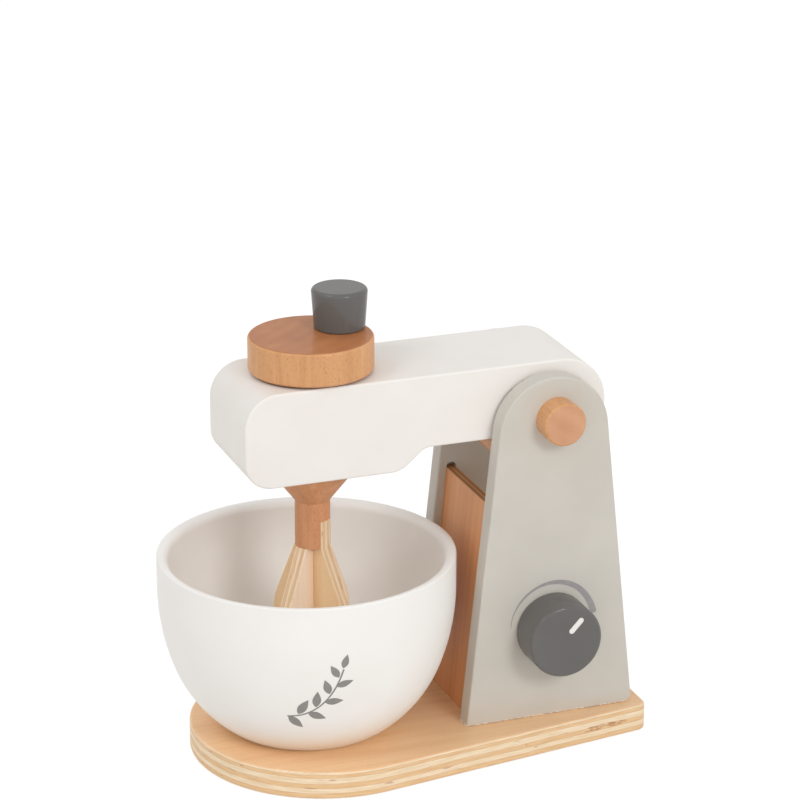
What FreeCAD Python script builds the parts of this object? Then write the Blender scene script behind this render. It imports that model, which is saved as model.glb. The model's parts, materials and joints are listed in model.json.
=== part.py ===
"""Wooden toy stand mixer for play kitchens, in millimetres, +Z up.

The row frame has its origin at the middle of the underside of the base plate.
+X points from the bowl to the tower and +Y to the side without the dial.
"""
import FreeCAD
import Part
import math
import os

import Sketcher

Vector = FreeCAD.Vector

# Driving sizes, one per line, in millimetres and degrees.
SIZES = {
    # base plate
    "base_length": 205.0,
    "base_rear_width": 84.0,
    "base_front_radius": 61.9,
    "base_thickness": 13.0,
    "base_rear_corner": 5.0,
    "base_edge_round": 1.2,
    # side panels of the tower
    "panel_inner": 27.6,
    "panel_thickness": 9.4,
    "panel_width": 81.9,
    "panel_to_base_end": 5.7,
    "panel_top_radius": 26.2,
    "panel_heel_round": 3.0,
    "panel_edge_round": 0.9,
    # slanted board between the panels
    "spine_thickness": 4.8,
    "spine_setback": 4.5,
    "spine_lean": 10.2,
    "spine_rise": 101.5,
    "spine_groove": 4.0,
    # round bar that the head rests on
    "stop_radius": 6.0,
    "stop_from_pivot": 18.1,
    "stop_socket": 5.0,
    "rest_gap": 0.3,
    # pivot of the head
    "pivot_rise": 144.3,
    "pivot_behind_middle": 0.9,
    "pivot_over_arc": 7.0,
    "pivot_radius": 9.9,
    "pivot_reach": 10.6,
    "dowel_chamfer": 0.8,
    "washer_rim": 3.6,
    "washer_gap": 0.25,
    "running_clearance": 0.08,
    # tilting head
    "head_gap": 1.8,
    "head_over_pivot": 23.1,
    "neck_under_pivot": 10.5,
    "nose_drop": 9.9,
    "nose_reach": 39.2,
    "tail_reach": 28.3,
    "step_from_whisk": 32.8,
    "step_run": 11.5,
    "nose_top_round": 15.8,
    "nose_bottom_round": 12.4,
    "step_lower_round": 12.0,
    "step_upper_round": 8.0,
    "tail_top_round": 20.9,
    "tail_bottom_round": 8.0,
    "head_edge_round": 0.9,
    # crank disc on top of the head
    "disc_radius": 28.0,
    "disc_thickness": 15.5,
    "disc_round": 1.4,
    "crank_angle": 19.5,
    "crank_offset": 16.3,
    "crank_foot_radius": 11.4,
    "crank_top_radius": 12.7,
    "crank_height": 18.6,
    "crank_round": 1.8,
    "crank_foot_round": 0.9,
    "crank_pin_radius": 4.0,
    "crank_pin_depth": 9.0,
    # spindle with its collar and washers
    "spindle_radius": 8.0,
    "spindle_hang": 21.6,
    "spindle_socket": 10.0,
    "spin_washer_rim": 5.0,
    "spin_washer_thickness": 0.8,
    "spin_gap": 0.2,
    "collar_flare": 12.0,
    "collar_cone": 15.5,
    "collar_rim": 0.8,
    # crossed whisk blades
    "blade_angle": -60.6,
    "blade_thickness": 6.0,
    "blade_slot": 12.8,
    "blade_flare": 13.8,
    "blade_shoulder_drop": 31.0,
    "blade_floor_gap": 9.0,
    "blade_shoulder_round": 26.0,
    "blade_foot_round": 19.0,
    # dial
    "dial_rise": 43.4,
    "dial_radius": 17.3,
    "dial_depth": 17.7,
    "dial_round": 1.8,
    "dial_foot_round": 0.9,
    "dial_gap": 0.3,
    "dial_axle_radius": 4.0,
    "dial_socket": 11.0,
    "retainer_radius": 10.0,
    "retainer_thickness": 7.0,
    # bowl
    "bowl_gap": 0.6,
    "bowl_to_whisk": 3.05,
    "bowl_radius": 67.45,
    "bowl_height": 81.75,
    "bowl_wall": 5.2,
    "bowl_floor": 8.0,
    "bowl_wall_arc": 100.0,
    "bowl_upright": 15.75,
    "lip_outer_round": 0.7,
    "lip_inner_round": 3.8,
    "bowl_arc_change": 36.0,
    "bowl_belly_arc": 63.0,
    "bowl_foot_round": 1.5,
    # screws that hold the panels from below
    "screw_radius": 2.0,
    "screw_head_radius": 4.0,
    "screw_recess": 0.5,
    "screw_length": 30.0,
    "screw_point": 4.0,
    "screw_inset": 17.0,
}

doc = FreeCAD.newDocument("ToyMixer")
sheet = doc.addObject("Spreadsheet::Sheet", "Sizes")
for row, (alias, number) in enumerate(SIZES.items(), start=1):
    sheet.set("A%d" % row, alias)
    sheet.set("B%d" % row, str(number))
    sheet.setAlias("B%d" % row, alias)
doc.recompute()


class Size:
    """A number together with the expression that ties it to the sheet."""

    def __init__(self, value, text):
        self.value = value
        self.text = text

    @staticmethod
    def of(other):
        """Turn a plain number into a size."""
        return other if isinstance(other, Size) else Size(float(other), repr(float(other)))

    def join(self, other, sign, value):
        """Write both expressions with the sign between them."""
        return Size(value, "(%s %s %s)" % (self.text, sign, Size.of(other).text))

    def __add__(self, other):
        return self.join(other, "+", self.value + Size.of(other).value)

    def __sub__(self, other):
        return self.join(other, "-", self.value - Size.of(other).value)

    def __mul__(self, other):
        return self.join(other, "*", self.value * Size.of(other).value)

    def __truediv__(self, other):
        return self.join(other, "/", self.value / Size.of(other).value)

    def __neg__(self):
        return Size(-self.value, "(-1 * %s)" % self.text)


class Sizes:
    """Every driving size by its name."""

    def __getattr__(self, alias):
        return Size(SIZES[alias], "Sizes.%s" % alias)


size = Sizes()
zero = Size.of(0)
pieces = []


def bind(thing, path, value):
    """Give a property its value and tie it to the sheet."""
    value = Size.of(value)
    if "." not in path and "[" not in path:
        setattr(thing, path, value.value)
    thing.setExpression(path, value.text)


def place(thing, x=zero, y=zero, z=zero):
    """Put a piece at a place that follows the sheet."""
    for axis, value in (("x", x), ("y", y), ("z", z)):
        bind(thing, "Placement.Base.%s" % axis, value)


def turn(thing, axis, angle):
    """Turn a piece about its own origin by an angle that follows the sheet."""
    thing.Placement = FreeCAD.Placement(thing.Placement.Base, FreeCAD.Rotation(axis, Size.of(angle).value))
    bind(thing, "Placement.Rotation.Angle", angle)


def new_body(name):
    """Start a piece that is made by features."""
    body = doc.addObject("PartDesign::Body", name)
    body.Label = name
    pieces.append(body)
    return body


def new_sketch(body, role, name, offset=zero):
    """Start a sketch on one of the body's origin planes, moved along its normal."""
    sketch = body.newObject("Sketcher::SketchObject", name)
    plane = next(feature for feature in body.Origin.OriginFeatures if feature.Role == role)
    sketch.AttachmentSupport = [(plane, "")]
    sketch.MapMode = "FlatFace"
    bind(sketch, "AttachmentOffset.Base.z", offset)
    return sketch


def hold(sketch, kind, first, corner, value):
    """Hold a point at a distance from the sketch's origin."""
    value = Size.of(value)
    if abs(value.value) < 1e-9:
        axis = -2 if kind == "DistanceX" else -1
        sketch.addConstraint(Sketcher.Constraint("PointOnObject", first, corner, axis))
        return
    index = sketch.addConstraint(Sketcher.Constraint(kind, -1, 1, first, corner, value.value))
    sketch.setExpression("Constraints[%d]" % index, value.text)


def hold_radius(sketch, edge, value):
    """Hold the radius of a circle or an arc."""
    index = sketch.addConstraint(Sketcher.Constraint("Radius", edge, value.value))
    sketch.setExpression("Constraints[%d]" % index, value.text)


def polygon(body, role, name, corners, offset=zero):
    """Sketch a closed outline of straight lines through the corners."""
    sketch = new_sketch(body, role, name, offset)
    points = [Vector(Size.of(x).value, Size.of(y).value, 0) for x, y in corners]
    count = len(points)
    for i in range(count):
        sketch.addGeometry(Part.LineSegment(points[i], points[(i + 1) % count]), False)
    for i in range(count):
        sketch.addConstraint(Sketcher.Constraint("Coincident", i, 2, (i + 1) % count, 1))
    for i, (x, y) in enumerate(corners):
        hold(sketch, "DistanceX", i, 1, x)
        hold(sketch, "DistanceY", i, 1, y)
    return sketch


def circles(body, role, name, rounds, offset=zero):
    """Sketch circles, each given as centre x, centre y and radius."""
    sketch = new_sketch(body, role, name, offset)
    for i, (x, y, radius) in enumerate(rounds):
        centre = Vector(Size.of(x).value, Size.of(y).value, 0)
        sketch.addGeometry(Part.Circle(centre, Vector(0, 0, 1), radius.value), False)
        hold(sketch, "DistanceX", i, 3, x)
        hold(sketch, "DistanceY", i, 3, y)
        hold_radius(sketch, i, radius)
    return sketch


def finish_feature(body, feature, sketch=None):
    """Make a feature the body's tip and work it out."""
    if sketch is not None:
        sketch.Visibility = False
    body.Tip = feature
    doc.recompute()
    return feature


def pad(body, sketch, length, middle=False):
    """Push an outline out along its plane's normal."""
    feature = body.newObject("PartDesign::Pad", sketch.Name + "_pad")
    feature.Profile = sketch
    bind(feature, "Length", length)
    feature.Midplane = middle
    return finish_feature(body, feature, sketch)


def pocket(body, sketch, depth=None, reverse=False):
    """Cut an outline into the solid, right through where no depth is given."""
    before = body.Shape.Volume
    feature = body.newObject("PartDesign::Pocket", sketch.Name + "_cut")
    feature.Profile = sketch
    if depth is None:
        feature.Type = "ThroughAll"
        feature.Midplane = True
    else:
        bind(feature, "Length", depth)
        feature.Reversed = reverse
    finish_feature(body, feature, sketch)
    if not body.Shape.Volume < before:
        raise RuntimeError("%s cuts nothing" % feature.Name)
    return feature


def spin(body, sketch):
    """Turn a profile about the sketch's upright axis."""
    feature = body.newObject("PartDesign::Revolution", sketch.Name + "_turned")
    feature.Profile = sketch
    feature.ReferenceAxis = (sketch, ["V_Axis"])
    feature.Angle = 360
    return finish_feature(body, feature, sketch)


def dress(body, kind, radius, wanted):
    """Round or bevel the edges of the solid that pass the test."""
    solid = body.Tip
    names = ["Edge%d" % (i + 1) for i, edge in enumerate(solid.Shape.Edges) if wanted(edge)]
    if not names:
        raise RuntimeError("%s has no edge to dress" % body.Label)
    feature = body.newObject("PartDesign::" + kind, "%s_%s%d" % (body.Name, kind.lower(), len(body.Group)))
    feature.Base = (solid, names)
    bind(feature, "Radius" if kind == "Fillet" else "Size", radius)
    return finish_feature(body, feature)


def close(a, b):
    """Say whether two lengths are equal for this model."""
    return abs(a - b) < 1e-4


def at_level(edge, axis, *levels):
    """Say whether an edge lies whole in one of the planes across an axis."""
    box = edge.BoundBox
    low = getattr(box, axis + "Min")
    high = getattr(box, axis + "Max")
    return any(close(low, level) and close(high, level) for level in levels)


def along(edge, axis, x=None, z=None):
    """Say whether an edge is a straight one along an axis, at the given place."""
    if edge.Curve.TypeId != "Part::GeomLine":
        return False
    direction = edge.tangentAt(edge.FirstParameter)
    if not close(abs(getattr(direction, axis)), 1.0):
        return False
    middle = edge.CenterOfMass
    if x is not None and not close(middle.x, x.value):
        return False
    return z is None or close(middle.z, z.value)


def turned_piece(name, profile, rounds=()):
    """Turn a piece from a profile of corners given as radius and height."""
    body = new_body(name)
    spin(body, polygon(body, "XZ_Plane", name + "_profile", profile))
    for kind, radius, level in rounds:
        height = Size.of(level).value
        dress(body, kind, radius, lambda edge: at_level(edge, "Z", height) and is_outermost(body, edge, height))
    return body


def is_outermost(body, edge, height):
    """Say whether a round edge is the widest of those at its height."""
    level_edges = [other for other in body.Tip.Shape.Edges if at_level(other, "Z", height)]
    widest = max(other.BoundBox.XLength for other in level_edges)
    return close(edge.BoundBox.XLength, widest)


def tube_profile(inner, outer, foot, top):
    """Corners of a plain sleeve or rod, from foot to top."""
    return [(inner, foot), (outer, foot), (outer, top), (inner, top)]


# Places that several pieces share, along the toy.
half_base = size.base_length / 2
base_nose = size.base_front_radius - half_base
panel_back = half_base - size.panel_to_base_end
panel_front = panel_back - size.panel_width
tower_middle = (panel_front + panel_back) / 2
spine_foot = panel_front + size.spine_setback
pivot_place = tower_middle + size.pivot_behind_middle
stop_place = pivot_place - size.stop_from_pivot
bowl_place = spine_foot - size.bowl_gap - size.bowl_radius
whisk_place = bowl_place + size.bowl_to_whisk
screw_ends = (panel_front + size.screw_inset, panel_back - size.screw_inset)

# Places across the toy.
panel_outer = size.panel_inner + size.panel_thickness
half_head = size.panel_inner - size.head_gap
washer_thickness = size.head_gap - size.washer_gap
screw_row = size.panel_inner + size.panel_thickness / 2
screw_places = [(x, y) for x in screw_ends for y in (-screw_row, screw_row)]

# Heights above the surface that the toy stands on.
spine_top = size.base_thickness + size.spine_rise
pivot_height = size.base_thickness + size.pivot_rise
dial_height = size.base_thickness + size.dial_rise
panel_arc_height = pivot_height - size.pivot_over_arc
head_top = pivot_height + size.head_over_pivot
neck_underside = pivot_height - size.neck_under_pivot
nose_underside = neck_underside - size.nose_drop
stop_height = neck_underside - size.rest_gap - size.stop_radius
disc_foot = head_top + size.spin_washer_thickness + size.spin_gap
disc_top = disc_foot + size.disc_thickness
collar_top = nose_underside - size.spin_washer_thickness - size.spin_gap
collar_foot = collar_top - size.collar_rim - size.collar_cone
spindle_foot = collar_foot - size.spindle_hang
blade_foot = size.base_thickness + size.bowl_floor + size.blade_floor_gap
blade_shoulder = spindle_foot - size.blade_shoulder_drop
lap_height = (spindle_foot + blade_foot) / 2
screw_tip = size.screw_recess + size.screw_length

# Sizes that follow from others.
bore_radius = size.spindle_radius + size.running_clearance
spin_washer_radius = size.spindle_radius + size.spin_washer_rim
cross_blade_angle = size.blade_angle + 90


def base_plate():
    """Plywood base: a round nose under the bowl and sides that close in on the rear."""
    body = new_body("base_plate")
    sketch = new_sketch(body, "XY_Plane", "base_outline")
    half_rear = size.base_rear_width / 2
    centre = Vector(base_nose.value, 0, 0)
    radius = size.base_front_radius.value
    corner = Vector(half_base.value, half_rear.value, 0)
    nose = Part.Circle(centre, Vector(0, 0, 1), radius)
    side = Vector(0, radius, 0) + centre
    sketch.addGeometry(Part.ArcOfCircle(nose, math.pi / 2, 3 * math.pi / 2), False)
    sketch.addGeometry(Part.LineSegment(side, corner), False)
    sketch.addGeometry(Part.LineSegment(corner, Vector(corner.x, -corner.y, 0)), False)
    sketch.addGeometry(Part.LineSegment(Vector(corner.x, -corner.y, 0), Vector(side.x, -side.y, 0)), False)
    join = Sketcher.Constraint
    sketch.addConstraint(join("Tangent", 0, 1, 1, 1))
    sketch.addConstraint(join("Coincident", 1, 2, 2, 1))
    sketch.addConstraint(join("Coincident", 2, 2, 3, 1))
    sketch.addConstraint(join("Tangent", 3, 2, 0, 2))
    hold_radius(sketch, 0, size.base_front_radius)
    hold(sketch, "DistanceX", 0, 3, base_nose)
    hold(sketch, "DistanceY", 0, 3, zero)
    hold(sketch, "DistanceX", 2, 1, half_base)
    hold(sketch, "DistanceY", 2, 1, half_rear)
    hold(sketch, "DistanceX", 2, 2, half_base)
    hold(sketch, "DistanceY", 2, 2, -half_rear)
    pad(body, sketch, size.base_thickness)
    dress(body, "Fillet", size.base_rear_corner, lambda edge: along(edge, "z", x=half_base))
    top = size.base_thickness.value
    dress(body, "Fillet", size.base_edge_round, lambda edge: at_level(edge, "Z", 0.0, top))
    shanks = [(x, y, size.screw_radius) for x, y in screw_places]
    pocket(body, circles(body, "XY_Plane", "shank_holes", shanks))
    shank = size.screw_radius.value
    dress(body, "Chamfer", size.screw_head_radius - size.screw_radius + size.screw_recess,
          lambda edge: at_level(edge, "Z", 0.0) and close(edge.BoundBox.XLength, 2 * shank))


def side_panel(name, dial_side):
    """Tower side: an upright board that narrows to a round top, painted all over."""
    body = new_body(name)
    first_face = size.panel_inner if dial_side else -panel_outer
    inner_face = size.panel_inner if dial_side else -size.panel_inner
    sketch = new_sketch(body, "XZ_Plane", name + "_outline", first_face)
    foot = size.base_thickness
    middle = Vector(tower_middle.value, panel_arc_height.value, 0)
    radius = size.panel_top_radius.value
    front = Vector(panel_front.value, foot.value, 0)
    back = Vector(panel_back.value, foot.value, 0)
    ends = (middle + Vector(radius, 0, 0), middle - Vector(radius, 0, 0))
    sketch.addGeometry(Part.LineSegment(front, back), False)
    sketch.addGeometry(Part.LineSegment(back, ends[0]), False)
    sketch.addGeometry(Part.ArcOfCircle(Part.Circle(middle, Vector(0, 0, 1), radius), 0, math.pi), False)
    sketch.addGeometry(Part.LineSegment(ends[1], front), False)
    join = Sketcher.Constraint
    sketch.addConstraint(join("Coincident", 0, 2, 1, 1))
    sketch.addConstraint(join("Tangent", 1, 2, 2, 1))
    sketch.addConstraint(join("Tangent", 2, 2, 3, 1))
    sketch.addConstraint(join("Coincident", 3, 2, 0, 1))
    hold(sketch, "DistanceX", 0, 1, panel_front)
    hold(sketch, "DistanceY", 0, 1, foot)
    hold(sketch, "DistanceX", 0, 2, panel_back)
    hold(sketch, "DistanceY", 0, 2, foot)
    hold(sketch, "DistanceX", 2, 3, tower_middle)
    hold(sketch, "DistanceY", 2, 3, panel_arc_height)
    hold_radius(sketch, 2, size.panel_top_radius)
    pad(body, sketch, size.panel_thickness)
    dress(body, "Fillet", size.panel_heel_round, lambda edge: along(edge, "y", x=panel_back, z=foot))
    side = -1 if dial_side else 1
    faces = (side * size.panel_inner.value, side * panel_outer.value)
    dress(body, "Fillet", size.panel_edge_round,
          lambda edge: at_level(edge, "Y", *faces) and edge.CenterOfMass.z > foot.value + 1e-3)
    pivot = (pivot_place, pivot_height, size.pivot_radius)
    pocket(body, circles(body, "XZ_Plane", name + "_pivot_hole", [pivot], inner_face))
    if dial_side:
        bore = (tower_middle, dial_height, size.dial_axle_radius + size.running_clearance)
        pocket(body, circles(body, "XZ_Plane", "dial_bore", [bore], inner_face))
    stop = (stop_place, stop_height, size.stop_radius)
    stop_socket = circles(body, "XZ_Plane", name + "_stop_socket", [stop], inner_face)
    pocket(body, stop_socket, size.stop_socket, reverse=dial_side)
    groove = polygon(body, "XZ_Plane", name + "_spine_groove", spine_corners(), inner_face)
    pocket(body, groove, size.spine_groove, reverse=dial_side)
    end_middle = spine_foot + size.spine_lean + size.spine_thickness / 2
    groove_end = (end_middle, spine_top, size.spine_thickness / 2)
    cutter_end = circles(body, "XZ_Plane", name + "_groove_end", [groove_end], inner_face)
    pocket(body, cutter_end, size.spine_groove, reverse=dial_side)
    row = -screw_row if dial_side else screw_row
    pilots = [(x, row, size.screw_radius) for x in screw_ends]
    pilot_sketch = circles(body, "XY_Plane", name + "_pilots", pilots, foot)
    pocket(body, pilot_sketch, screw_tip - foot, reverse=True)


def spine_corners():
    """Side view of the slanted board, from its foot on the base to its level top."""
    foot = spine_foot
    head = spine_foot + size.spine_lean
    return [
        (foot, size.base_thickness),
        (foot + size.spine_thickness, size.base_thickness),
        (head + size.spine_thickness, spine_top),
        (head, spine_top),
    ]


def spine_panel():
    """Bare plywood board let into grooves in both panels."""
    body = new_body("spine_panel")
    sketch = polygon(body, "XZ_Plane", "spine_side", spine_corners())
    pad(body, sketch, (size.panel_inner + size.spine_groove) * 2, middle=True)


def dowel_across(name, radius, reach, x, z, chamfer):
    """Round bar across the toy, with bevelled ends."""
    body = new_body(name)
    pad(body, circles(body, "XZ_Plane", name + "_round", [(zero, zero, radius)]), reach * 2, middle=True)
    end = reach.value
    dress(body, "Chamfer", chamfer, lambda edge: at_level(edge, "Y", -end, end))
    place(body, x=x, z=z)


def pivot_washers():
    """Wooden rings that keep the head in the middle between the panels."""
    outer = size.pivot_radius + size.washer_rim
    for name, side in (("dial_side_washer", True), ("plain_side_washer", False)):
        body = new_body(name)
        face = size.panel_inner - washer_thickness if side else -size.panel_inner
        ring = circles(body, "XZ_Plane", name + "_ring", [(zero, zero, outer), (zero, zero, size.pivot_radius)], face)
        pad(body, ring, washer_thickness)
        place(body, x=pivot_place, z=pivot_height)


def head_arm():
    """Painted head: a long block with a deep nose, stepped up to the neck."""
    body = new_body("head_arm")
    front = whisk_place - size.nose_reach
    rear = pivot_place + size.tail_reach
    step_front = whisk_place + size.step_from_whisk
    step_back = step_front + size.step_run
    corners = [
        (front, nose_underside),
        (step_front, nose_underside),
        (step_back, neck_underside),
        (rear, neck_underside),
        (rear, head_top),
        (front, head_top),
    ]
    pad(body, polygon(body, "XZ_Plane", "head_side", corners), half_head * 2, middle=True)
    rounds = [
        (size.nose_bottom_round, corners[0]),
        (size.step_lower_round, corners[1]),
        (size.step_upper_round, corners[2]),
        (size.tail_bottom_round, corners[3]),
        (size.tail_top_round, corners[4]),
        (size.nose_top_round, corners[5]),
    ]
    for radius, (x, z) in rounds:
        dress(body, "Fillet", radius, lambda edge: along(edge, "y", x=x, z=z))
    side = half_head.value
    dress(body, "Fillet", size.head_edge_round, lambda edge: at_level(edge, "Y", -side, side))
    pivot = (pivot_place, pivot_height, size.pivot_radius + size.running_clearance)
    pocket(body, circles(body, "XZ_Plane", "head_pivot_bore", [pivot]))
    pocket(body, circles(body, "XY_Plane", "head_spindle_bore", [(whisk_place, zero, bore_radius)]))


def crank():
    """Round disc on the spindle, with the grip that a child turns it by."""
    disc = new_body("crank_disc")
    pad(disc, circles(disc, "XY_Plane", "disc_round", [(zero, zero, size.disc_radius)]), size.disc_thickness)
    thickness = size.disc_thickness
    dress(disc, "Fillet", size.disc_round, lambda edge: at_level(edge, "Z", 0.0, thickness.value))
    socket = circles(disc, "XY_Plane", "spindle_socket", [(zero, zero, size.spindle_radius)])
    pocket(disc, socket, size.spindle_socket, reverse=True)
    pin_hole = (size.crank_offset, zero, size.crank_pin_radius)
    pocket(disc, circles(disc, "XY_Plane", "crank_pin_hole", [pin_hole], thickness), size.crank_pin_depth)
    place(disc, x=whisk_place, z=disc_foot)
    turn(disc, Vector(0, 0, 1), size.crank_angle)

    pin_top = size.crank_pin_depth
    grip = [
        (size.crank_pin_radius, zero),
        (size.crank_foot_radius, zero),
        (size.crank_top_radius, size.crank_height),
        (zero, size.crank_height),
        (zero, pin_top),
        (size.crank_pin_radius, pin_top),
    ]
    rounds = [("Fillet", size.crank_round, size.crank_height), ("Fillet", size.crank_foot_round, zero)]
    knob = turned_piece("crank_knob", grip, rounds)
    pin_profile = tube_profile(zero, size.crank_pin_radius, -size.crank_pin_depth, pin_top)
    pin = turned_piece("crank_pin", pin_profile)
    for piece in (knob, pin):
        place(piece, z=disc_top)
        arm = size.crank_offset
        piece.setExpression("Placement.Base.x", "%s + %s * cos(%s * 1 deg)"
                            % (whisk_place.text, arm.text, size.crank_angle.text))
        piece.setExpression("Placement.Base.y", "%s * sin(%s * 1 deg)" % (arm.text, size.crank_angle.text))


def drive_spindle():
    """Round bar down through the head, sawn across at its foot for the long blade."""
    spindle = new_body("drive_spindle")
    top = disc_foot + size.spindle_socket
    profile = tube_profile(zero, size.spindle_radius, spindle_foot, top)
    spin(spindle, polygon(spindle, "XZ_Plane", "spindle_profile", profile))
    half = size.blade_thickness / 2
    slot_top = spindle_foot + size.blade_slot
    slot = [(-half, spindle_foot), (half, spindle_foot), (half, slot_top), (-half, slot_top)]
    pocket(spindle, polygon(spindle, "YZ_Plane", "blade_slot", slot))
    place(spindle, x=whisk_place)
    turn(spindle, Vector(0, 0, 1), size.blade_angle)


def collar_and_washers():
    """Cone that shuts the bore from below, and the thin rings it and the disc turn on."""
    collar_radius = size.spindle_radius + size.collar_flare
    cone = [
        (size.spindle_radius, collar_foot),
        (collar_radius, collar_foot + size.collar_cone),
        (collar_radius, collar_top),
        (size.spindle_radius, collar_top),
    ]
    collar = turned_piece("spindle_collar", cone)
    thickness = size.spin_washer_thickness
    upper = turned_piece("upper_spin_washer",
                         tube_profile(bore_radius, spin_washer_radius, head_top, head_top + thickness))
    lower = turned_piece("lower_spin_washer",
                         tube_profile(size.spindle_radius, spin_washer_radius, collar_top, collar_top + thickness))
    for piece in (collar, upper, lower):
        place(piece, x=whisk_place)


def whisk_blade(name, in_slot, angle):
    """Plywood blade that widens below the spindle, lapped with its fellow."""
    body = new_body(name)
    neck = size.spindle_radius
    wide = size.spindle_radius + size.blade_flare
    top = spindle_foot + size.blade_slot if in_slot else spindle_foot
    right = [(neck, top)] + ([(neck, spindle_foot)] if in_slot else [])
    right += [(wide, blade_shoulder), (wide, blade_foot)]
    left = [(-x, z) for x, z in reversed(right)]
    outline = polygon(body, "XZ_Plane", name + "_outline", right + left)
    pad(body, outline, size.blade_thickness, middle=True)
    for side in (wide, -wide):
        dress(body, "Fillet", size.blade_shoulder_round,
              lambda edge: along(edge, "y", x=side, z=blade_shoulder))
        dress(body, "Fillet", size.blade_foot_round, lambda edge: along(edge, "y", x=side, z=blade_foot))
    half = size.blade_thickness / 2
    low = blade_foot if in_slot else lap_height
    high = lap_height if in_slot else spindle_foot
    lap = [(-half, low), (half, low), (half, high), (-half, high)]
    pocket(body, polygon(body, "XZ_Plane", name + "_lap", lap))
    place(body, x=whisk_place)
    turn(body, Vector(0, 0, 1), angle)


def dial():
    """Turning knob on the tower's side, on a thin bar with a stop disc inside."""
    gap = size.dial_gap
    knob_profile = [
        (size.dial_axle_radius, zero),
        (size.dial_radius, zero),
        (size.dial_radius, size.dial_depth),
        (zero, size.dial_depth),
        (zero, size.dial_socket),
        (size.dial_axle_radius, size.dial_socket),
    ]
    rounds = [("Fillet", size.dial_round, size.dial_depth), ("Fillet", size.dial_foot_round, zero)]
    knob = turned_piece("dial_knob", knob_profile, rounds)
    retainer_top = -gap * 2 - size.panel_thickness
    retainer_foot = retainer_top - size.retainer_thickness
    axle = turned_piece("dial_axle", tube_profile(zero, size.dial_axle_radius, retainer_foot, size.dial_socket))
    ring = tube_profile(size.dial_axle_radius, size.retainer_radius, retainer_foot, retainer_top)
    retainer = turned_piece("dial_retainer", ring)
    for piece in (knob, axle, retainer):
        place(piece, x=tower_middle, y=-(panel_outer + gap), z=dial_height)
        turn(piece, Vector(1, 0, 0), 90)


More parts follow.
